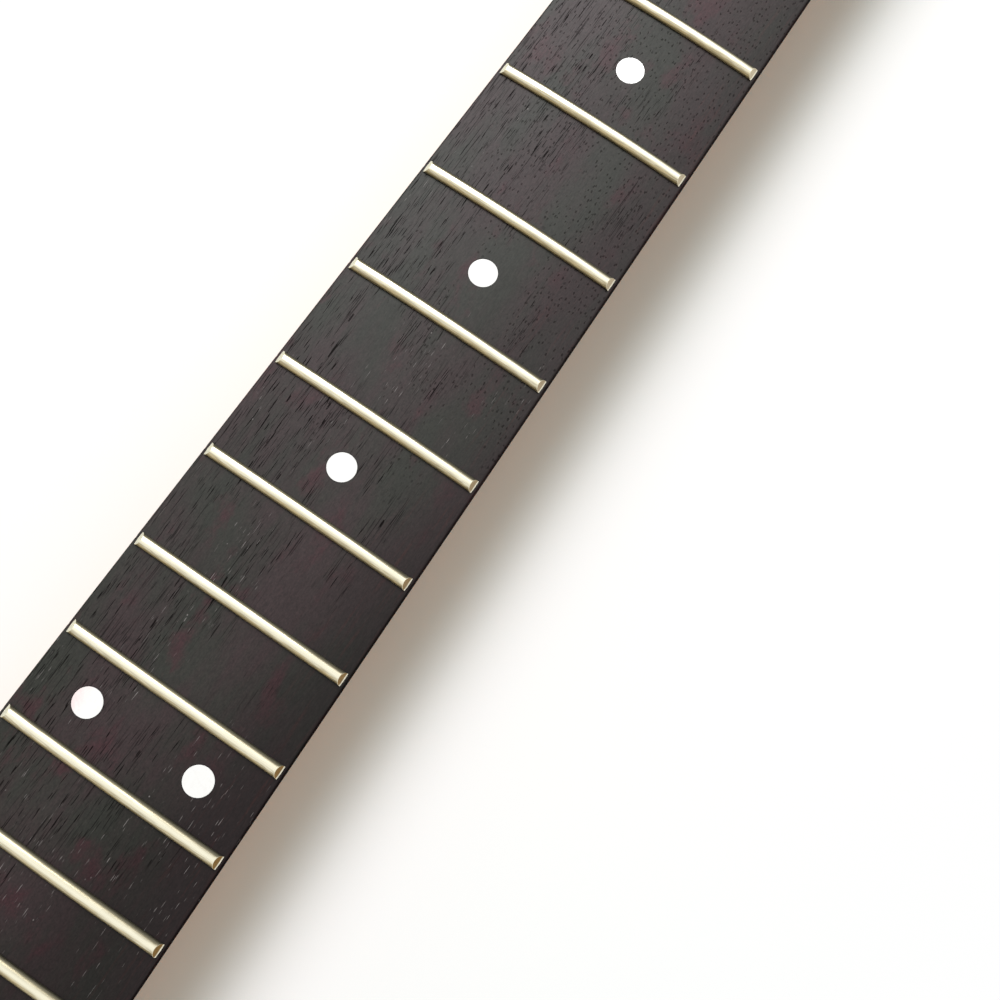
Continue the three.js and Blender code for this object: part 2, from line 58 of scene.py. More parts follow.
# Fret wire
CROWN_WIDTH = 2.7
CROWN_HEIGHT = 1.15
CROWN_LIP = 0.16
CROWN_GAP = 0.05
CROWN_INSET = 0.7
CROWN_BEVEL = radians(40)
CROWN_ROUNDNESS = 0.92
END_SPREAD = 0.09
END_SPREAD_LENGTH = 0.45
WIRE_EASE = 0.07
TANG_WIDTH = 0.5
TANG_DEPTH = 1.6
TANG_INSET = 0.95
SLOT_SIDE_GAP = 0.06
SLOT_FLOOR_GAP = 0.3
FILL_DEPTH = 0.9
FILL_RECESS = 0.03

# Position dots
DOT_FRETS = (3, 5, 7, 9, 12, 15, 17, 19, 21)
DOT_RADIUS = 3
DOT_THICKNESS = 1.8
DOT_PAIR = 25.5
SIDE_DOT_RADIUS = 1.1
SIDE_DOT_LENGTH = 2.4
SIDE_DOT_DROP = 4.2
SIDE_DOT_PAIR = 6.5
INLAY_RECESS = 0.02
INLAY_GAP = 0.08
INLAY_EASE = 0.05

# Maple blank
HEEL_LENGTH = 76.2
HEEL_THICKNESS = 19.05
HEEL_CORNER = 6
HEEL_BLEND = 36
SHAFT_DEPTH_FIRST = 21
SHAFT_DEPTH_TWELFTH = 22.6
PROFILE_POWER = 2.15
SQUARE_POWER = 24
HEAD_CARVE = 52
HEADSTOCK_DROP = 4.75
COVE_FROM_NUT = 1.5
COVE_RADIUS = 30
FLARE_LIP = 0.6
FLARE_END_FROM_NUT = 50
FLARE_HANDLE = 0.42
FLARE_CARVED = 0.5
EDGE_ROUND = 2.6
EDGE_ROUND_AT_COVE = 0.9
EDGE_ROUND_AT_BACK = 2.0
EDGE_ROUND_RUN = 24
SCREWS_ACROSS = 38.1
SCREWS_ALONG = 50.8
PILOT_RADIUS = 1.6
PILOT_POINT = 0.16
PILOT_DEPTH = 14
PILOT_TIP = 0.9

# The shaft runs on inside the headstock, as shares of the flare and how deep it lies there
LAP_START = 0.512
LAP_SKIM = 0.004
LAP_END = 4 / 7
LAP_INSET = 0.3
LAP_RUN = 6

# Headstock
STRINGS = 6
TUNER_PITCH = 25.4
TUNER_BORE = 5
BORE_CHAMFER = 0.35
TUNER_POST = 3
OUTER_STRING_INSET = 3.3
FIRST_TUNER_FROM_NUT = 43
TUNER_TO_BASS_EDGE = 12
EDGE_PAST_LAST_TUNER = 13
TIP_RADIUS = 15
TIP_TURN = radians(18)
TREBLE_SHOULDER = 22.5
TREBLE_SWEEP = 46

# Truss rod, in a channel under the board and a pocket behind the nut
TRUSS_GAP = 0.3
BAR_WIDTH = 6
BAR_HEIGHT = 4.4
ROD_DIAMETER = 5
TRUSS_BLOCK_WALL = 0.9
CHANNEL_TO_HEEL_END = 20
ADJUSTER_DIAMETER = 7
ADJUSTER_LENGTH = 14
ADJUSTER_GAP = 0.8
POCKET_FROM_NUT = 1.8
KEY_ROOM = 15

# Cutting tools pass the face that they open by this much
OVERRUN = 2

# Steps along each kind of curve
CROWN_STEPS = 22
FRET_STEPS = 36
TURNED_STEPS = 56
COVE_STEPS = 24
POCKET_STEPS = 24
ARC_STEPS = 44
ARRIS_STEPS = 5
SIDE_STEPS = 6
BOARD_STEPS = 72
PROFILE_STEPS = 84
BLEND_STEPS = 34
FLARE_STEPS = 36
CORNER_STEPS = 8
OUTLINE_STEPS = 40
ROUND_STEPS = 7

# Edges that turn less than this are shaded smooth
SMOOTH_BELOW = radians(32)

# The part of the floor that the neck covers, and how its veil fades and its white grows from there
NECK_MIDDLE_X = 2
NECK_MIDDLE_Y = 285
NECK_HALF_WIDTH = 34
NECK_HALF_LENGTH = 332
VEIL_FADES = (-6, 14)
WHITE_GROWS = (25, 160)
WHITE_AT_NECK = 0.07

# Camera, floor and window, with their places in metres
LENS = 47.634
SENSOR_WIDTH = 36
CAMERA_PLACE = (0.051536, 0.137196, 0.275017)
CAMERA_TURN = [radians(angle) for angle in (12.0152, -1.9757, 34.0781)]
FLOOR_HALF = 6.0
FLOOR_PLACE = (0, 0.29, -0.0002)
WINDOW_PLACE = Vector((-1.08, 1.55, 1.9))
WINDOW_AIM = Vector((0, 0.25, 0))
WINDOW_SIZE = 1.3
WINDOW_POWER = 66.0


def evenly(start, end, steps):
    """Even steps from the start to the end, with both."""
    return [start + (end - start) * step / steps for step in range(steps + 1)]


# Heights from the plane that the heel and the headstock rest on
GLUE_LINE = HEEL_THICKNESS
BOARD_TOP = GLUE_LINE + BOARD_THICKNESS
HEADSTOCK = GLUE_LINE - HEADSTOCK_DROP

# Places along the neck, from the middle of the heel's screws, and its taper on each side
HEEL_HALF = HEEL_LENGTH / 2
BOARD_END = -HEEL_HALF - BOARD_OVERHANG
TAPER = (BOARD_END_WIDTH - NUT_WIDTH) / 2 / (NUT_Y - BOARD_END)


def fret_y(fret):
    return NUT_Y - SCALE_LENGTH * (1 - 2 ** (-fret / SEMITONES))


def half_width(y):
    return NUT_WIDTH / 2 + TAPER * (NUT_Y - y)


def board_z(x):
    """The height of the board's arched face."""
    return BOARD_TOP - BOARD_RADIUS + sqrt(BOARD_RADIUS ** 2 - x ** 2)


# Shader sums


class Value:
    """A shader socket that Python's operators work on."""

    def __init__(self, finish, socket):
        self.finish = finish
        self.socket = socket

    def sum(self, operation, first, second):
        return self.finish.node("ShaderNodeMath", {"operation": operation}, {0: first, 1: second})

    def __add__(self, other):
        return self.sum("ADD", self, other)

    def __radd__(self, other):
        return self.sum("ADD", other, self)

    def __sub__(self, other):
        return self.sum("SUBTRACT", self, other)

    def __rsub__(self, other):
        return self.sum("SUBTRACT", other, self)

    def __mul__(self, other):
        return self.sum("MULTIPLY", self, other)

    def __rmul__(self, other):
        return self.sum("MULTIPLY", other, self)

    def __truediv__(self, other):
        return self.sum("DIVIDE", self, other)

    def __pow__(self, other):
        return self.sum("POWER", self, other)

    def most(self, other):
        return self.sum("MAXIMUM", self, other)

    def size(self):
        return self.sum("ABSOLUTE", self, 0)


class Finish:
    """A material being mixed: its shader, its places in millimetres and its patterns."""

    WAVES_AT_SCALE_1 = 3.2

    def __init__(self, name, owner=None, **fixed):
        self.owner = owner or bpy.data.materials.new(name)
        self.owner.use_nodes = True
        self.tree = self.owner.node_tree
        self.shader = self.tree.nodes.get("Principled BSDF")
        for socket, value in fixed.items():
            self.shader.inputs[socket.replace("_", " ")].default_value = value

    def node(self, kind, settings, inputs, output=0):
        """Adds any node: its settings first, then the values or links of its sockets."""
        node = self.tree.nodes.new(kind)
        for name, value in settings.items():
            setattr(node, name, value)
        for name, value in inputs.items():
            self.feed(node.inputs[name], value)
        return Value(self, node.outputs[output])

    def feed(self, socket, value):
        if isinstance(value, Value):
            self.tree.links.new(value.socket, socket)
        else:
            socket.default_value = value

    def wear(self, colour=None, roughness=None, coat=None, height=None, depth=0.0):
        """Feeds what changes over the surface: colour, roughness, lacquer and a height in millimetres."""
        if colour is not None:
            self.feed(self.shader.inputs["Base Color"], colour)
        if roughness is not None:
            self.feed(self.shader.inputs["Roughness"], roughness)
        if coat is not None:
            self.feed(self.shader.inputs["Coat Weight"], coat)
        if height is not None:
            relief = self.node("ShaderNodeBump", {}, {"Distance": depth * MM, "Height": height})
            self.feed(self.shader.inputs["Normal"], relief)

    def places(self, across=1.0, along=1.0, up=1.0, turn=(0, 0, 0), shift=(0, 0, 0)):
        """The place on the object in millimetres, divided by a stretch each way."""
        spot = self.node("ShaderNodeTexCoord", {}, {}, output="Object")
        scale = tuple(1 / MM / stretch for stretch in (across, along, up))
        if any(turn):
            spot = self.node("ShaderNodeMapping", {}, {"Vector": spot, "Rotation": turn})
        return self.node("ShaderNodeMapping", {}, {"Vector": spot, "Scale": scale, "Location": shift})

    def axis(self, name):
        return self.node("ShaderNodeSeparateXYZ", {}, {"Vector": self.places()}, output=name)

    def facing(self, name):
        """How far the surface faces along one of the object's own axes, from -1 to 1."""
        normal = self.node("ShaderNodeTexCoord", {}, {}, output="Normal")
        return self.node("ShaderNodeSeparateXYZ", {}, {"Vector": normal}, output=name)

    def cloud(self, spot, size, detail=2.0, roughness=0.5, twist=0.0):
        """Soft random patches of about the given size."""
        return self.node("ShaderNodeTexNoise", {}, {
            "Vector": spot, "Scale": 1 / size, "Detail": detail, "Roughness": roughness,
            "Distortion": twist})

    def cells(self, spot, size, output="Distance", seen_on="3D"):
        """Random points about the given size apart: the distance to the nearest, or its colour."""
        return self.node(
            "ShaderNodeTexVoronoi", {"voronoi_dimensions": seen_on}, {"Vector": spot, "Scale": 1 / size},
            output=output)

    def lines(self, spot, spacing, twist, detail, detail_size):
        """Parallel lines across X, bent by their own noise."""
        return self.node("ShaderNodeTexWave", {"bands_direction": "X", "wave_profile": "SIN"}, {
            "Vector": spot, "Scale": 1 / spacing / self.WAVES_AT_SCALE_1, "Distortion": twist,
            "Detail": detail, "Detail Scale": detail_size})

    def seen_directly(self):
        """1 for the rays of the camera and of mirror-like or clear surfaces, otherwise 0."""
        rays = ("Is Camera Ray", "Is Glossy Ray", "Is Transmission Ray")
        camera, mirror, clear = [self.node("ShaderNodeLightPath", {}, {}, output=ray) for ray in rays]
        return camera.most(mirror).most(clear)

    def step(self, value, start, end):
        """Rises smoothly from 0 at the start to 1 at the end, or falls if the end comes first."""
        low, high = min(start, end), max(start, end)
        ends = (0.0, 1.0) if start < end else (1.0, 0.0)
        return self.node("ShaderNodeMapRange", {"interpolation_type": "SMOOTHSTEP"}, {
            "Value": value, "From Min": low, "From Max": high, "To Min": ends[0], "To Max": ends[1]})

    def blend(self, mask, under, over):
        """Lays one colour over another where the mask is 1."""
        colours = [value if isinstance(value, Value) else (*value, 1) for value in (under, over)]
        return self.node(
            "ShaderNodeMix", {"data_type": "RGBA"}, {0: mask, 6: colours[0], 7: colours[1]}, output=2)

    def tint(self, colour, level):
        """Makes a colour lighter or darker by a level that varies, with 1 as it is."""
        return self.node("ShaderNodeVectorMath", {"operation": "SCALE"}, {0: colour, "Scale": level})


# Finishes


def rosewood_finish():
    """Oiled rosewood: near black with brown purple patches, fine fibres and thin open pores."""
    wood = Finish("rosewood_oiled", Specular_IOR_Level=0.0, Coat_Roughness=0.5, Coat_IOR=1.5)
    across, along = wood.axis("X"), wood.axis("Y")
    fibres = wood.cloud(wood.places(along=5), 0.30, detail=3, roughness=0.7)
    stipple = wood.cloud(wood.places(along=1.5, shift=(4, 4, 1)), 0.32, detail=2, roughness=0.65)
    bands = wood.cloud(wood.places(along=7), 3.0, detail=3, roughness=0.6)
    patches = wood.cloud(wood.places(along=2.6), 13.0, detail=3)
    blushes = wood.cloud(wood.places(along=2, shift=(9, 4, 2)), 6.5, detail=5, roughness=0.6)
    brown = wood.step(patches * 0.7 + bands * 0.3, 0.38, 0.60)
    colour = wood.blend(brown, (0.0165, 0.0172, 0.0128), (0.0262, 0.0150, 0.0156))
    colour = wood.blend(wood.step(blushes, 0.53, 0.70) * 0.8, colour, (0.0390, 0.0105, 0.0145))
    # Darker and redder towards the treble edge: partly the wood's own tone, partly painted shade
    treble = wood.step(across + patches * 14, 12, 32)
    colour = wood.blend(treble * 0.6, colour, (0.0110, 0.0062, 0.0062))
    streaks = wood.step(wood.cloud(wood.places(along=22, shift=(3, 0, 8)), 0.7, detail=2), 0.54, 0.74)
    colour = wood.blend(streaks * treble * 0.5, colour, (0.0420, 0.0130, 0.0120))
    # Darker towards the heel on the treble side, with a duller coat: painted shade, partly the wood's own
    # darker tone
    heelward_tone_and_shade = wood.step(across * 4 - along, -130, -20)
    colour = wood.tint(colour, (fibres * 0.9 + stipple * 1.5 + bands * 0.3 - 0.35) * (1 - heelward_tone_and_shade * 0.4))

    # Pores are thin dashes that follow one another along the grain, most of them on the bass half
    chains = wood.step(wood.cloud(wood.places(along=40, shift=(6, 1, 0)), 0.45, detail=0), 0.42, 0.52)
    crowd = wood.step(wood.cloud(wood.places(along=2.6, shift=(2, 8, 5)), 10.0) - across * 0.007, 0.44, 0.58)
    dashes = wood.cloud(wood.places(along=19), 0.18, detail=0)
    hairs = wood.step(wood.cloud(wood.places(along=70, shift=(2, 6, 3)), 0.16, detail=0), 0.68, 0.75)
    pores = (wood.step(dashes, 0.635, 0.70) * chains).most(hairs * 0.7) * crowd
    crowded_chains = chains * crowd

    # Pits are short, lie close together and show best towards the nut
    nutward = (along - 210) * 0.0022 + across * 0.002
    huddle = wood.step(wood.cloud(wood.places(along=2, shift=(7, 2, 6)), 12.0) + nutward * 1.7, 0.44, 0.60)
    pit_places = wood.places(along=2, shift=(3, 5, 7))
    huddle = huddle * wood.step(wood.cells(pit_places, 0.85, output="Color", seen_on="2D"), 0.25, 0.65)
    dimples = wood.cells(pit_places, 0.85, seen_on="2D") + stipple * 0.6 - 0.3
    pits = wood.step(dimples, 0.26, 0.11) * huddle
    holes = pores.most(pits * 0.65)
    # Painted highlight: the lips round the pores and pits are lightened
    painted_lip_highlight = (wood.step(dashes, 0.56, 0.63) * crowded_chains).most(wood.step(dimples, 0.40, 0.25) * huddle)
    colour = wood.tint(colour, 0.96 + painted_lip_highlight * 0.25)
    colour = wood.blend(holes * 0.9, colour, (0.0020, 0.0014, 0.0014))

    # Some pores hold pale dust
    dusty = wood.step(wood.cloud(wood.places(along=4, shift=(1, 3, 9)), 12.0) - nutward * 0.4, 0.55, 0.66)
    chalk = wood.cloud(wood.places(along=20, shift=(8, 2, 4)), 0.13, detail=0)
    specks = wood.step(wood.cells(wood.places(along=1.6, shift=(11, 5, 0)), 3.0), 0.045, 0.02)
    dust = (wood.step(chalk, 0.765, 0.83) * chains).most(specks) * dusty
    colour = wood.blend(dust * 0.9, colour, (0.26, 0.235, 0.230))

    side = wood.facing("X")
    sides = wood.step(side, 0.35, 0.8) * 0.9 + wood.step(side, -0.35, -0.8) * 0.25
    sheen = wood.cloud(wood.places(along=3, shift=(5, 9, 2)), 15.0, detail=3)
    coat = (0.34 + fibres * 0.3 + sheen * 0.14) * (1 - holes * 0.85) * (1 - sides) * (1 - heelward_tone_and_shade * 0.3)
    pitted = wood.step(dimples, 0.34, 0.10) * huddle * 0.8
    dips = (wood.step(dashes, 0.59, 0.69) * crowded_chains).most(pitted)
    wood.wear(colour, 0.5 + fibres * 0.2 + sheen * 0.1, coat, (fibres + stipple) * 0.4 - dips, depth=0.045)
    return wood.owner


def maple_finish():
    """Maple under amber gloss lacquer: long fibres, growth lines, short flecks and a clear coat."""
    wood = Finish("maple_amber_gloss", Coat_Roughness=0.07, Coat_IOR=1.5, Specular_IOR_Level=0.0)
    fibres = wood.cloud(wood.places(along=38), 0.6, detail=5, roughness=0.62)
    silk = wood.cloud(wood.places(along=16), 3.0, detail=3, roughness=0.55)
    wander = wood.cloud(wood.places(along=3.5), 26.0, detail=2)
    growth = wood.lines(wood.places(along=26), 7.5, twist=7.0, detail=3.0, detail_size=0.8)
    rings = wood.step(growth, 0.70, 0.98)
    tone = wood.step(silk * 0.6 + wander * 0.6, 0.40, 0.80)
    colour = wood.blend(tone, (0.520, 0.112, 0.0012), (0.86, 0.245, 0.0040))
    joint = wood.step(wood.axis("Z") + silk * 5, 13, 21.5)
    colour = wood.blend(joint * 0.5, colour, (0.90, 0.38, 0.035))
    colour = wood.tint(colour, 0.58 + fibres * 0.84)
    colour = wood.blend(rings * 0.5, colour, (0.34, 0.062, 0.0008))

    # Short flecks and a fine ripple give the wood its shimmer
    ray_places = wood.places(along=6, shift=(3, 17, 9))
    chosen = wood.step(wood.cells(ray_places, 0.62, output="Color"), 0.38, 0.7)
    flecks = wood.step(wood.cells(ray_places, 0.62), 0.30, 0.1) * chosen
    colour = wood.blend(flecks * 0.42, colour, (0.38, 0.075, 0.0010))
    ripple = wood.cloud(wood.places(along=2.4, turn=(0, 0, radians(14))), 0.85, detail=3, roughness=0.6)
    curl = wood.cloud(wood.places(across=8, up=8), 2.8, detail=2)
    waves = wood.step(curl, 0.34, 0.68) * wood.step(wander, 0.35, 0.65)
    colour = wood.tint(colour, 0.70 + ripple * 0.48 + waves * 0.18)

    rough = 0.42 + fibres * 0.2 + flecks * 0.1
    coat = 0.50 + fibres * 0.35 - rings * 0.2 - flecks * 0.15
    wood.wear(colour, rough, coat, fibres * 0.5 - rings * 0.3 - flecks * 0.5, depth=0.02)
    return wood.owner


def fret_finish():
    """Nickel silver, rougher down its flanks, with a painted highlight on the crown and painted shade and
    golden reflection down its flanks.
    """
    metal = Finish("fret_wire_polished", Metallic=1.0)
    across, side = metal.axis("X"), metal.facing("X")
    drawn = metal.step(metal.cloud(metal.places(across=40), 0.30, detail=2), 0.38, 0.62)
    scratches = metal.step(metal.cloud(metal.places(across=14), 0.20, detail=1), 0.38, 0.62)
    worn = metal.step(metal.cloud(metal.places(across=2), 2.6, detail=3), 0.45, 0.75)
    up, nutward = metal.facing("Z").most(0), metal.facing("Y").most(0)
    # Painted light on the wire: a highlight on the crown, shade down the flanks and darker still on the nut
    # side, and a golden reflection on the heel side
    crown = up ** 7 - nutward * 0.8 + side.size() * 0.9
    flank = metal.step(up, 0.97, 0.75)
    heelward = metal.step(metal.facing("Y"), -0.08, -0.45)
    colour = metal.blend(crown, (0.260, 0.205, 0.100), (0.950, 0.905, 0.710))
    colour = metal.blend(metal.step(nutward, 0.15, 0.55), colour, (0.118, 0.108, 0.075))
    colour = metal.blend((1 - drawn) * heelward * 0.7, colour, (0.46, 0.36, 0.18))

    # The filed ends get a painted reflection that darkens towards the heel, are painted lighter on the bass
    # side, and get a painted highlight rim just above the board
    lift = metal.axis("Z") + across * across / (2 * BOARD_RADIUS) - BOARD_TOP
    filed = metal.blend(metal.step(metal.axis("Y"), 110, 290), (0.26, 0.155, 0.052), (0.60, 0.52, 0.37))
    filed = metal.blend(metal.step(side, 0, -0.2), filed, (0.80, 0.78, 0.62))
    filed = metal.blend(metal.step(lift, 0.38, 0.22), filed, (0.95, 0.90, 0.74))
    colour = metal.blend(metal.step(side.size(), 0.66, 0.74), colour, filed)
    colour = metal.tint(colour, 0.97 + (scratches * 0.28 - 0.14) * heelward.most(flank * 0.5) - worn * 0.05)
    rough = 0.24 + flank * 0.26 + drawn * 0.06 + worn * 0.08
    metal.wear(colour, rough, height=drawn, depth=0.0015)
    return metal.owner


def pearl_finish(name, blush):
    """White pearl: faint clouds and layers, with a blush on some pieces."""
    shell = Finish(name, Coat_Weight=0.35, Coat_Roughness=0.08)
    cloud_places = shell.places(across=1.4, along=0.8, turn=(0, 0, radians(35)))
    cloud = shell.cloud(cloud_places, 1.7, detail=4, twist=1.2)
    layers = shell.cloud(shell.places(along=5, turn=(0, 0, radians(20))), 0.5, detail=3)
    colour = shell.blend(shell.step(cloud, 0.38, 0.66), (0.99, 0.975, 0.96), (0.96, 0.94, 0.925))
    glow = shell.step(shell.axis("X") + cloud * 5, -10, -14) if blush else shell.step(cloud, 0.6, 0.8)
    colour = shell.blend(glow * (0.9 if blush else 0.2), colour, (0.95, 0.76, 0.76))
    shell.wear(colour, 0.2 + layers * 0.14, height=layers, depth=0.003)
    return shell.owner


def bone_finish():
    """Polished bone: warm white with fine grain along the nut and small dark pits."""
    bone = Finish("bone_polished", Coat_Weight=0.15, Coat_Roughness=0.2)
    grain = bone.cloud(bone.places(across=14), 0.35, detail=4)
    warm = bone.cloud(bone.places(across=2), 5.0, detail=2)
    colour = bone.blend(bone.step(warm, 0.35, 0.7), (0.84, 0.79, 0.66), (0.76, 0.67, 0.49))
    colour = bone.tint(colour, 0.9 + grain * 0.18)
    pits = bone.step(bone.cells(bone.places(across=4), 0.7), 0.14, 0.06)
    colour = bone.blend(pits * 0.5, colour, (0.36, 0.28, 0.18))
    bone.wear(colour, 0.28 + grain * 0.15, height=grain - pits, depth=0.01)
    return bone.owner


def turned_finish(name, bright, dark, rough):
    """Turned or rolled metal with fine tool marks round it and an oily film."""
    metal = Finish(name, Metallic=1.0)
    marks = metal.cloud(metal.places(across=6, up=6), 0.12, detail=3)
    film = metal.cloud(metal.places(), 2.2, detail=3)
    colour = metal.blend(metal.step(film, 0.36, 0.7), bright, dark)
    colour = metal.tint(colour, 0.85 + marks * 0.3)
    metal.wear(colour, rough + marks * 0.16 + film * 0.08, height=marks, depth=0.01)
    return metal.owner


rosewood = rosewood_finish()
maple = maple_finish()
nickel = fret_finish()
pearl = pearl_finish("pearl_white", blush=False)
pearl_blush = pearl_finish("pearl_blush", blush=True)
FINISHES = {
    "rosewood": rosewood,
    "maple": maple,
    "fret_wire": nickel,
    "pearl": pearl,
    "bone": bone_finish(),
    "steel": turned_finish("steel_oiled", (0.50, 0.50, 0.51), (0.33, 0.32, 0.31), 0.28),
    "brass": turned_finish("brass_turned", (0.72, 0.53, 0.22), (0.52, 0.36, 0.14), 0.26),
}


# Pieces


def flat_shading(piece):
    """Lets the large faces decide the shading next to a small round."""
    piece.modifiers.new("flat_faces", "WEIGHTED_NORMAL").keep_sharp = True


def ease(piece, width):
    """Rounds a piece's sharp edges a little, so that they catch the light."""
    edge = piece.modifiers.new("eased_edges", "BEVEL")
    edge.width = width * MM
    edge.segments = 2
    edge.limit_method = "ANGLE"
    edge.angle_limit = SMOOTH_BELOW


def place(name, mesh, finish, stands_for=None):
    """Puts a finished mesh into the scene, onto the neck and in place of its plain solid."""
    mesh.materials.append(finish)
    mesh.shade_smooth()
    mesh.set_sharp_from_angle(angle=SMOOTH_BELOW)
    piece = bpy.data.objects.new(name, mesh)
    bpy.context.scene.collection.objects.link(piece)
    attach(piece, "neck")
    if stands_for:
        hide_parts(stands_for)
    return piece


def skin(bm, rings):
    """Joins equal rings of points into one closed skin, with a face at each end."""
    rows = [[bm.verts.new(Vector(point) * MM) for point in ring] for ring in rings]
    bm.faces.new(rows[0])
    bm.faces.new(rows[-1])
    for row, above in zip(rows, rows[1:]):
        for side in range(len(row)):
            bm.faces.new((row[side - 1], row[side], above[side], above[side - 1]))


def mesh_of(name, *skins):
    """One mesh of closed skins, each given as its rings."""
    bm = bmesh.new()
    for rings in skins:
        skin(bm, rings)
    bmesh.ops.recalc_face_normals(bm, faces=bm.faces)
    mesh = bpy.data.meshes.new(name)
    bm.to_mesh(mesh)
    bm.free()
    return mesh


def pushed(outline, push):
    """The rings of an outline pushed through space."""
    return [outline, [Vector(point) + Vector(push) for point in outline]]


def box(x0, x1, y0, y1, z0, z1):
    """The rings of a box between two places each way."""
    return pushed([(x0, y0, z0), (x1, y0, z0), (x1, y1, z0), (x0, y1, z0)], (0, 0, z1 - z0))


def turned(centre, out, profile):
    """The rings of a turned shape: each profile point is a distance along its axis and a radius."""
    aim = out.to_track_quat("Z", "Y")
    turns = evenly(0, 2 * pi, TURNED_STEPS)[:-1]
    return [
        [centre + aim @ Vector((radius * cos(turn), radius * sin(turn), along)) for turn in turns]
        for along, radius in profile]


def joined(mesh, operation, *tools):
    """Adds meshes to one, or cuts them away, one after the other, and returns what is left."""
    work = [bpy.data.objects.new(part.name, part) for part in (mesh, *tools)]
    for part in work:
        bpy.context.scene.collection.objects.link(part)
    for tool in work[1:]:
        cut = work[0].modifiers.new(tool.name, "BOOLEAN")
        cut.operation = operation
        cut.solver = "MANIFOLD"
        cut.object = tool
    bpy.context.view_layer.update()
    worked = work[0].evaluated_get(bpy.context.evaluated_depsgraph_get())
    result = bpy.data.meshes.new_from_object(worked)
    result.materials.clear()
    for part in work:
        bpy.data.objects.remove(part)
    return result


SLOT_HALF = TANG_WIDTH / 2 + SLOT_SIDE_GAP
SLOT_DEPTH = TANG_DEPTH + SLOT_FLOOR_GAP


def slot_floor(fret):
    return board_z(half_width(fret_y(fret))) - SLOT_DEPTH


def crown_profile():
    """Half round crown on a short upright lip, and the tang below it, as (along, height)."""
    crown, tang = CROWN_WIDTH / 2, TANG_WIDTH / 2
    points = [(-tang, -TANG_DEPTH), (tang, -TANG_DEPTH), (tang, CROWN_GAP), (crown, CROWN_GAP)]
    for turn in evenly(0, pi, CROWN_STEPS):
        height = CROWN_GAP + CROWN_LIP + (CROWN_HEIGHT - CROWN_LIP) * sin(turn) ** CROWN_ROUNDNESS
        points.append((crown * cos(turn), height))
    return points + [(-crown, CROWN_GAP), (-tang, CROWN_GAP)]


def fret_wire(fret):
    """One fret: bent to the board's arc, with filed ends that lean back and spread a little."""
    y = fret_y(fret)
    half = half_width(y)
    rings = []
    # The rings crowd towards the ends, where the crown spreads
    for turn in evenly(-pi / 2, pi / 2, FRET_STEPS):
        ring = []
        for along, height in crown_profile():
            in_tang = height < CROWN_GAP
            end = half - (TANG_INSET if in_tang else CROWN_INSET + (height - CROWN_GAP) * tan(CROWN_BEVEL))
            x = sin(turn) * end
            from_end = end - abs(x)
            spread = 0 if in_tang else END_SPREAD * max(0, 1 - from_end / END_SPREAD_LENGTH) ** 2
            wide = 1 + spread / (CROWN_WIDTH / 2) * (abs(along) > TANG_WIDTH)
            ring.append((x, y + along * wide, board_z(x) + height))
        rings.append(ring)
    name = f"wire_{fret:02d}"
    ease(place(name, mesh_of(name, rings), nickel, f"fret_{fret:02d}"), WIRE_EASE)


def disc(name, top, out, radius, length, finish, stands_for):
    """A round inlay whose face is centred at a point and faces a direction."""
    rings = turned(top - out * INLAY_RECESS, out, [(-length, radius), (0, radius)])
    ease(place(name, mesh_of(name, rings), finish, stands_for), INLAY_EASE)


def dot_places():
    """Each position dot: its label, and its top and direction on the face and on the bass side."""
    side_z = BOARD_TOP - SIDE_DOT_DROP
    for fret in DOT_FRETS:
        middle = (fret_y(fret - 1) + fret_y(fret)) / 2
        shifts = {"a": -1, "b": 1} if fret % SEMITONES == 0 else {"": 0}
        for suffix, shift in shifts.items():
            x = shift * DOT_PAIR / 2
            up = Vector((x, 0, sqrt(BOARD_RADIUS ** 2 - x ** 2))).normalized()
            top = Vector((x, middle, board_z(x)))
            side_y = middle - shift * SIDE_DOT_PAIR / 2
            above, below = [side_x(side_y, side_z + reach) for reach in (SIDE_DOT_RADIUS, -SIDE_DOT_RADIUS)]
            out = Vector((-1, TAPER, (below - above) / 2 / SIDE_DOT_RADIUS)).normalized()
            side = Vector((-side_x(side_y, side_z), side_y, side_z))
            yield f"{fret:02d}{suffix}", (top, up), (side, out)


def inlays():
    """The dots on the board's face and on its bass side, two at the octave."""
    for label, face, side in dot_places():
        finish = pearl_blush if label.endswith("a") else pearl
        disc(f"inlay_{label}", *face, DOT_RADIUS, DOT_THICKNESS, finish, f"dot_{label}")
        disc(f"side_inlay_{label}", *side, SIDE_DOT_RADIUS, SIDE_DOT_LENGTH, pearl, f"side_dot_{label}")


COVE_START = NUT_Y + NUT_SLOT + COVE_FROM_NUT


def cove_run(z):
    """How far the hollow arc behind the nut reaches between the headstock's face and a height."""
    return sqrt(COVE_RADIUS ** 2 - (COVE_RADIUS - (z - HEADSTOCK)) ** 2)


COVE_END = COVE_START + cove_run(BOARD_TOP)
BOARD_TAIL = COVE_END - cove_run(GLUE_LINE + BOARD_TAIL_EDGE)


def cove_tool(level_end, drop):
    """Everything above the hollow arc behind the nut; past the arc it may sink by a drop."""
    turn_at_top = acos(1 - (BOARD_TOP - HEADSTOCK) / COVE_RADIUS)
    top = BOARD_TOP + OVERRUN
    profile = [(COVE_START, top)]
    for turn in evenly(turn_at_top, 0, COVE_STEPS):
        profile.append((COVE_END - COVE_RADIUS * sin(turn), HEADSTOCK + COVE_RADIUS * (1 - cos(turn))))
    end = level_end + LAP_RUN
    profile += [(level_end, HEADSTOCK), (end, HEADSTOCK - drop), (end, top)]
    outline = [(-NUT_WIDTH, y, z) for y, z in profile]
    return mesh_of("cove_tool", pushed(outline, (2 * NUT_WIDTH, 0, 0)))


ROD_Z = GLUE_LINE - 2 * TRUSS_GAP - BAR_HEIGHT - ROD_DIAMETER / 2
POCKET_START = NUT_Y + NUT_SLOT + POCKET_FROM_NUT


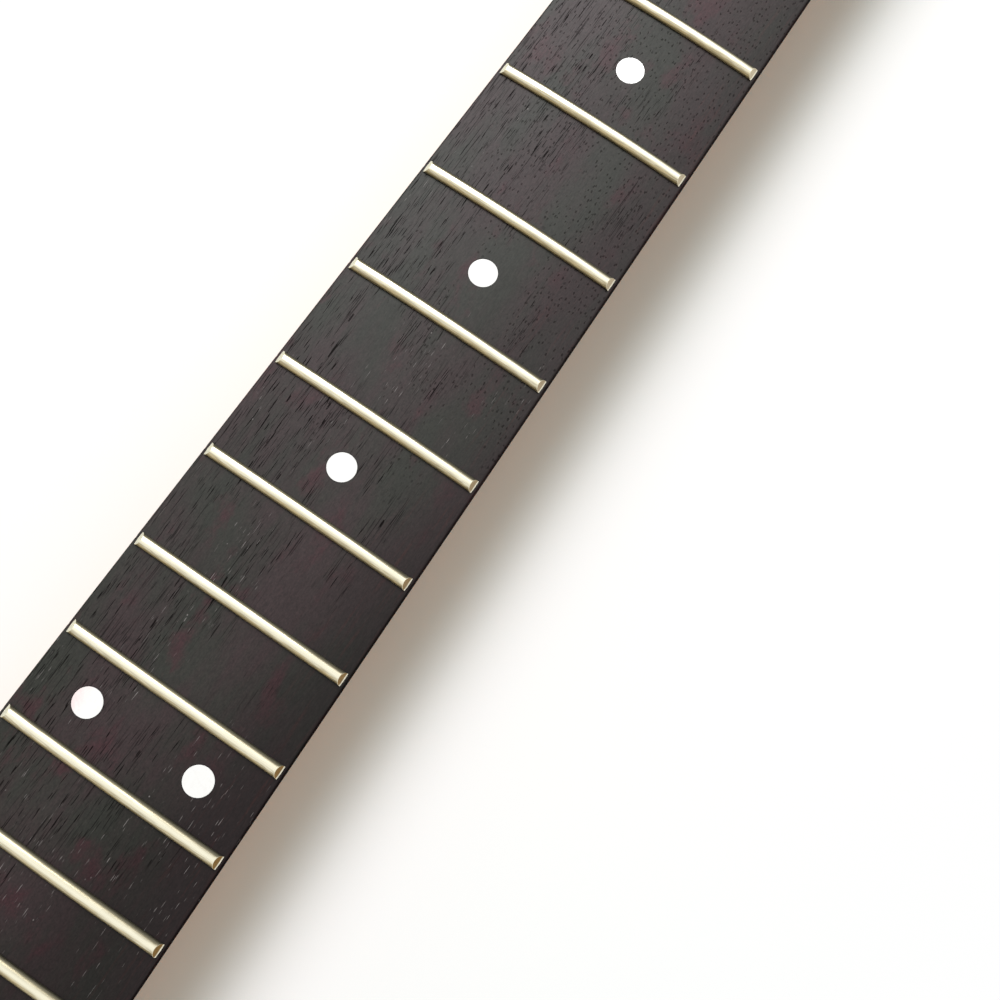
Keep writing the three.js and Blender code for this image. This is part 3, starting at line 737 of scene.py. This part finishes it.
def channel_tool():
    """The channel under the board that the truss rod and its bar lie in."""
    half = BAR_WIDTH / 2 + TRUSS_GAP
    floor = ROD_Z - ROD_DIAMETER / 2 - 2 * TRUSS_GAP - TRUSS_BLOCK_WALL
    start, end = CHANNEL_TO_HEEL_END - HEEL_HALF, POCKET_START + OVERRUN
    return mesh_of("channel_tool", box(-half, half, start, end, floor, GLUE_LINE + OVERRUN))


def pocket_tool():
    """The round ended pocket that the truss adjuster lies in."""
    half = ADJUSTER_DIAMETER / 2 + ADJUSTER_GAP
    floor = ROD_Z - half
    round_y = POCKET_START + ADJUSTER_GAP + ADJUSTER_LENGTH + KEY_ROOM - half
    outline = [(-half, POCKET_START, floor), (half, POCKET_START, floor)]
    for turn in evenly(0, pi, POCKET_STEPS):
        outline.append((half * cos(turn), round_y + half * sin(turn), floor))
    return mesh_of("pocket_tool", pushed(outline, (0, 0, BOARD_TOP + OVERRUN - floor)))


def board_edge(y, bottom):
    """The board's edge in cross-section, from a height up the side and round its rolled corner."""
    top = side_top(y)
    turns = evenly(0, pi / 2, ARRIS_STEPS)[1:]
    rolled = [(arc_half(y) + ARRIS * cos(turn), top + ARRIS * sin(turn)) for turn in turns]
    return [(side_x(y, z), z) for z in evenly(bottom, top, SIDE_STEPS)] + rolled


def board_ring(y):
    """One cross-section of the board: flat below, a long arc on top and a rolled edge each side."""
    edge = board_edge(y, GLUE_LINE)[:-1]
    arc = [(x, board_z(x)) for x in evenly(arc_half(y), -arc_half(y), ARC_STEPS)]
    return [(x, y, z) for x, z in edge + arc + [(-x, z) for x, z in reversed(edge)]]


def fingerboard():
    """The rosewood board with its fret slots, the nut's slot and the holes for the dots."""
    reach = BOARD_END_WIDTH
    above = BOARD_TOP + OVERRUN
    slots = [box(-reach, reach, NUT_Y, NUT_Y + NUT_SLOT, BOARD_TOP - NUT_SEAT, above)]
    for fret in range(1, FRET_COUNT + 1):
        y = fret_y(fret)
        slots.append(box(-reach, reach, y - SLOT_HALF, y + SLOT_HALF, slot_floor(fret), above))
    holes = []
    for _, face, side in dot_places():
        sizes = ((face, DOT_RADIUS, DOT_THICKNESS), (side, SIDE_DOT_RADIUS, SIDE_DOT_LENGTH))
        for spot, radius, length in sizes:
            floor = -length - INLAY_GAP - INLAY_RECESS
            wide = radius + INLAY_GAP
            holes.append(turned(*spot, [(floor, wide), (OVERRUN, wide)]))
    board = mesh_of("board", [board_ring(y) for y in evenly(BOARD_END, BOARD_TAIL, BOARD_STEPS)])
    board = joined(
        board, "DIFFERENCE", mesh_of("slots", *slots), mesh_of("holes", *holes),
        cove_tool(COVE_END, 0), pocket_tool())
    board.name = "rosewood_board"
    flat_shading(place("rosewood_board", board, rosewood, "fingerboard"))


FLARE_START = BOARD_TAIL + FLARE_LIP
FLARE_END = NUT_Y + FLARE_END_FROM_NUT
STRING_SPACING = (NUT_WIDTH - 2 * OUTER_STRING_INSET) / (STRINGS - 1)
LINE_ANGLE = asin(STRING_SPACING / TUNER_PITCH)
TUNER_LINE = Vector((sin(LINE_ANGLE), cos(LINE_ANGLE)))
TO_BASS = Vector((-TUNER_LINE.y, TUNER_LINE.x))
FIRST_STRING = -(STRINGS - 1) / 2 * STRING_SPACING
FIRST_TUNER = Vector((FIRST_STRING - TUNER_POST, NUT_Y + FIRST_TUNER_FROM_NUT))


def tuner_at(string):
    return FIRST_TUNER + TUNER_LINE * TUNER_PITCH * string


def bezier(a, b, c, d, share):
    left = 1 - share
    return a * left ** 3 + b * 3 * left ** 2 * share + c * 3 * left * share ** 2 + d * share ** 3


def flare(side, share):
    """A point on the curve from the shaft's edge out to the headstock's, on one side."""
    handle = (FLARE_END - FLARE_START) * FLARE_HANDLE
    edge = FIRST_TUNER + TO_BASS * TUNER_TO_BASS_EDGE
    bass_end = edge.x + (FLARE_END - edge.y) * tan(LINE_ANGLE)
    end_x, end_slope = (bass_end, tan(LINE_ANGLE)) if side < 0 else (TREBLE_SHOULDER, 0)
    start = Vector((side * half_width(FLARE_START), FLARE_START))
    end = Vector((end_x, FLARE_END))
    leave = start + Vector((-side * TAPER, 1)) * handle
    arrive = end - Vector((end_slope, 1)) * handle
    return bezier(start, leave, arrive, end, share)


CARVE_END = flare(1, FLARE_CARVED).y
CARVE_START = CARVE_END - HEAD_CARVE


def rise(value, start, end):
    """Rises smoothly from 0 at the start to 1 at the end."""
    share = min(1, max(0, (value - start) / (end - start)))
    return share * share * (3 - 2 * share)


def carve_at(y):
    """0 at the square heel and headstock, 1 along the round shaft."""
    return rise(y, HEEL_HALF, HEEL_HALF + HEEL_BLEND) * (1 - rise(y, CARVE_START, CARVE_END))


def back_z(y):
    """The height of the shaft's back."""
    share = (y - fret_y(1)) / (fret_y(SEMITONES) - fret_y(1))
    depth = SHAFT_DEPTH_FIRST + (SHAFT_DEPTH_TWELFTH - SHAFT_DEPTH_FIRST) * share
    return carve_at(y) * (BOARD_TOP - depth)


def arc_half(y):
    """Half the width of the board's long arc, between its rolled edges."""
    return half_width(y) - ARRIS


def side_top(y):
    """The height where the board's rolled edge meets the neck's side."""
    return board_z(arc_half(y)) - ARRIS


def profile_power(y):
    """The power of the shaft's rounded cross-section; a high one is nearly square."""
    carve = carve_at(y)
    return min(PROFILE_POWER / carve, SQUARE_POWER) if carve else SQUARE_POWER


def side_x(y, z):
    """Half the neck's width at a height: the board's side and the shaft share one curve."""
    power = profile_power(y)
    drop = max(0, (side_top(y) - z) / (side_top(y) - back_z(y)))
    return half_width(y) * (1 - drop ** power) ** (1 / power)


def shaft_ring(y, bass, treble, inset=0):
    """One cross-section of the shaft: a rounded form that grows square as the carving fades out."""
    power = profile_power(y)
    depth = side_top(y) - back_z(y) - inset
    seat = (side_top(y) - GLUE_LINE) / depth
    start = atan2(seat, (1 - seat ** power) ** (1 / power))
    ring = []
    for step, angle in enumerate(evenly(start, pi - start, PROFILE_STEPS)):
        across, down = abs(cos(angle)), sin(angle)
        reach = (across ** power + down ** power) ** (1 / power)
        half = treble - inset if step < PROFILE_STEPS / 2 else bass + inset
        ring.append((half * across / reach, y, side_top(y) - depth * down / reach))
    return ring


def flared_ring(share, inset=0):
    """One cross-section of the shaft where it flares out to the headstock."""
    return shaft_ring(flare(1, share).y, flare(-1, share).x, flare(1, share).x, inset)


def shaft():
    """The heel with its rounded corners, the carved shaft, and the flare into the headstock."""
    rings = []
    for turn in evenly(0, pi / 2, CORNER_STEPS)[:-1]:
        y = HEEL_CORNER * (1 - cos(turn)) - HEEL_HALF
        half = half_width(y) - HEEL_CORNER * (1 - sin(turn))
        rings.append(shaft_ring(y, -half, half))
    places = [HEEL_CORNER - HEEL_HALF]
    places += evenly(HEEL_HALF, HEEL_HALF + HEEL_BLEND, BLEND_STEPS)
    places += evenly(CARVE_START, FLARE_START, BLEND_STEPS)[:-1]
    rings += [shaft_ring(y, -half_width(y), half_width(y)) for y in places]
    rings += [flared_ring(share) for share in evenly(0, FLARE_CARVED, FLARE_STEPS)]
    rings += [flared_ring(LAP_START, LAP_SKIM), flared_ring(LAP_END, LAP_INSET)]
    return mesh_of("shaft", rings)


def headstock_outline():
    """The headstock's edge in plan, from the treble flare up round the tip and down the bass side."""
    shares = evenly(FLARE_CARVED, 1, FLARE_STEPS)
    tip_start = tuner_at(STRINGS - 1) + TO_BASS * TUNER_TO_BASS_EDGE + TUNER_LINE * EDGE_PAST_LAST_TUNER
    tip = tip_start - TO_BASS * TIP_RADIUS
    tip_end = tip + Vector((cos(TIP_TURN), -sin(TIP_TURN))) * TIP_RADIUS
    leave = tip_end - Vector((sin(TIP_TURN), cos(TIP_TURN))) * TREBLE_SWEEP
    shoulder = Vector((TREBLE_SHOULDER, FLARE_END))
    rest = Vector((TREBLE_SHOULDER, FLARE_END + TREBLE_SWEEP))
    points = [flare(1, share) for share in shares[:-1]]
    points += [bezier(shoulder, rest, leave, tip_end, share) for share in evenly(0, 1, OUTLINE_STEPS)[:-1]]
    for turn in evenly(-TIP_TURN, pi - LINE_ANGLE, OUTLINE_STEPS):
        points.append(tip + Vector((cos(turn), sin(turn))) * TIP_RADIUS)
    return points + [flare(-1, share) for share in reversed(shares)]


def headstock():
    """The headstock with its edges rounded over, less so where they run into the cove."""
    outline = headstock_outline()
    rims = []
    for step, point in enumerate(outline):
        # The two ends of the outline are corners that the shaft covers, so each looks one way only
        side = outline[min(step + 1, len(outline) - 1)] - outline[max(step - 1, 0)]
        grown = rise(point.y, CARVE_END, CARVE_END + EDGE_ROUND_RUN)
        radii = [start + (EDGE_ROUND - start) * grown for start in (EDGE_ROUND_AT_COVE, EDGE_ROUND_AT_BACK)]
        rims.append((point, Vector((side.y, -side.x)).normalized(), radii))

    def rim(turn, below):
        ring = []
        for point, out, radii in rims:
            radius = radii[below]
            spot = point - out * radius * (1 - sin(turn))
            up = radius * (1 - cos(turn))
            ring.append((spot.x, spot.y, up if below else HEADSTOCK - up))
        return ring

    turns = evenly(0, pi / 2, ROUND_STEPS)
    back = [rim(turn, True) for turn in turns]
    face = [rim(turn, False) for turn in reversed(turns)]
    return mesh_of("headstock", back + face)


def neck_blank():
    """The maple blank: shaft, heel and headstock in one, drilled and routed."""
    up = Vector((0, 0, 1))
    wide = TUNER_BORE + 2 * BORE_CHAMFER
    bore = [(-BORE_CHAMFER, wide), (BORE_CHAMFER, TUNER_BORE)]
    bore += [(HEADSTOCK - BORE_CHAMFER, TUNER_BORE), (HEADSTOCK + BORE_CHAMFER, wide)]
    bores = [turned(Vector((*tuner_at(string), 0)), up, bore) for string in range(STRINGS)]
    pilot = [(-OVERRUN, PILOT_RADIUS), (PILOT_DEPTH - PILOT_TIP, PILOT_RADIUS), (PILOT_DEPTH, PILOT_POINT)]
    for x in (-SCREWS_ACROSS / 2, SCREWS_ACROSS / 2):
        for y in (-SCREWS_ALONG / 2, SCREWS_ALONG / 2):
            bores.append(turned(Vector((x, y, 0)), up, pilot))
    blank = joined(shaft(), "DIFFERENCE", cove_tool(CARVE_END, LAP_INSET))
    blank = joined(blank, "UNION", headstock())
    blank = joined(blank, "DIFFERENCE", mesh_of("bores", *bores), channel_tool(), pocket_tool())
    flat_shading(place("maple_blank", blank, maple, "neck_blank"))


def slot_fill():
    """Dark filler that closes both ends of every fret slot, just under the board's surface."""
    blocks = []
    for fret in range(1, FRET_COUNT + 1):
        y, floor = fret_y(fret), slot_floor(fret)
        inner = half_width(y) - FILL_DEPTH
        edge = [(x - FILL_RECESS, z - FILL_RECESS) for x, z in board_edge(y, floor + FILL_RECESS)]
        for side in (-1, 1):
            outline = [(inner, floor), *edge, (inner, board_z(inner) - FILL_RECESS)]
            start = [(side * x, y - SLOT_HALF, z) for x, z in outline]
            blocks.append(pushed(start, (0, 2 * SLOT_HALF, 0)))
    place("slot_fill", mesh_of("slot_fill", *blocks), rosewood)


def dress_cad_nodes():
    """Gives each solid that keeps its shape its finish."""
    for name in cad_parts:
        solid = bpy.data.objects[name]
        for slot in solid.material_slots:
            slot.material = FINISHES[slot.material.name.split(".")[0]]


dress_cad_nodes()
neck_blank()
fingerboard()
for number in range(1, FRET_COUNT + 1):
    fret_wire(number)
inlays()
slot_fill()


# Camera, floor and light

camera = bpy.data.objects.new("camera", bpy.data.cameras.new("camera"))
camera.data.lens = LENS
camera.data.sensor_width = SENSOR_WIDTH
camera.location = CAMERA_PLACE
camera.rotation_euler = CAMERA_TURN
bpy.context.scene.collection.objects.link(camera)
bpy.context.scene.camera = camera


def table_top():
    """A plain white table that keeps the neck's shadow and stays white far from it."""
    paper = Finish("table_paper", Specular_IOR_Level=0.0, Roughness=1.0)
    paper.shader.inputs["Base Color"].default_value = (0.98, 0.98, 0.98, 1)
    speckle = paper.cloud(paper.places(), 1.5, detail=3)
    paper.wear(roughness=0.9 + speckle * 0.1)
    beside = (paper.axis("X") - NECK_MIDDLE_X).size() - NECK_HALF_WIDTH
    away = beside.most((paper.axis("Y") - NECK_MIDDLE_Y).size() - NECK_HALF_LENGTH)
    # Close to the neck a faint green veil evens out the orange light that the maple throws
    colour = paper.blend(paper.step(away, *VEIL_FADES), (0.6, 1.0, 0.75), (1.0, 1.0, 1.0))
    white = paper.node("ShaderNodeEmission", {}, {"Color": colour, "Strength": 1.0})
    grown = WHITE_AT_NECK + paper.step(away, *WHITE_GROWS) * (1 - WHITE_AT_NECK)
    whiteness = grown * paper.seen_directly()
    plain = Value(paper, paper.shader.outputs["BSDF"])
    both = paper.node("ShaderNodeMixShader", {}, {0: whiteness, 1: plain, 2: white})
    paper.feed(paper.tree.nodes["Material Output"].inputs["Surface"], both)
    bm = bmesh.new()
    bmesh.ops.create_grid(bm, x_segments=2, y_segments=2, size=FLOOR_HALF)
    bmesh.ops.translate(bm, verts=bm.verts, vec=FLOOR_PLACE)
    mesh = bpy.data.meshes.new("table_top")
    bm.to_mesh(mesh)
    bm.free()
    mesh.materials.append(paper.owner)
    table = bpy.data.objects.new("table_top", mesh)
    bpy.context.scene.collection.objects.link(table)


def window():
    """One large soft light, beyond the nut and on the bass side."""
    lamp = bpy.data.lights.new("window", "AREA")
    lamp.shape = "SQUARE"
    lamp.size = WINDOW_SIZE
    lamp.energy = WINDOW_POWER
    lamp.color = (1.0, 0.995, 0.995)
    light = bpy.data.objects.new("window", lamp)
    light.location = WINDOW_PLACE
    light.rotation_euler = (WINDOW_AIM - WINDOW_PLACE).to_track_quat("-Z", "Y").to_euler()
    bpy.context.scene.collection.objects.link(light)


def daylight():
    """Soft fill from all round; the camera and mirror-like surfaces see plain white."""
    world = bpy.data.worlds.new("daylight")
    bpy.context.scene.world = world
    sky = Finish("daylight", owner=world)
    fill = sky.node("ShaderNodeBackground", {}, {"Color": (0.95, 0.99, 0.955, 1), "Strength": 0.40})
    plain = sky.node("ShaderNodeBackground", {}, {"Color": (1, 1, 1, 1), "Strength": 1.0})
    both = sky.node("ShaderNodeMixShader", {}, {0: sky.seen_directly(), 1: fill, 2: plain})
    sky.feed(sky.tree.nodes["World Output"].inputs["Surface"], both)


table_top()
daylight()
window()
bpy.context.scene.view_settings.view_transform = "Standard"
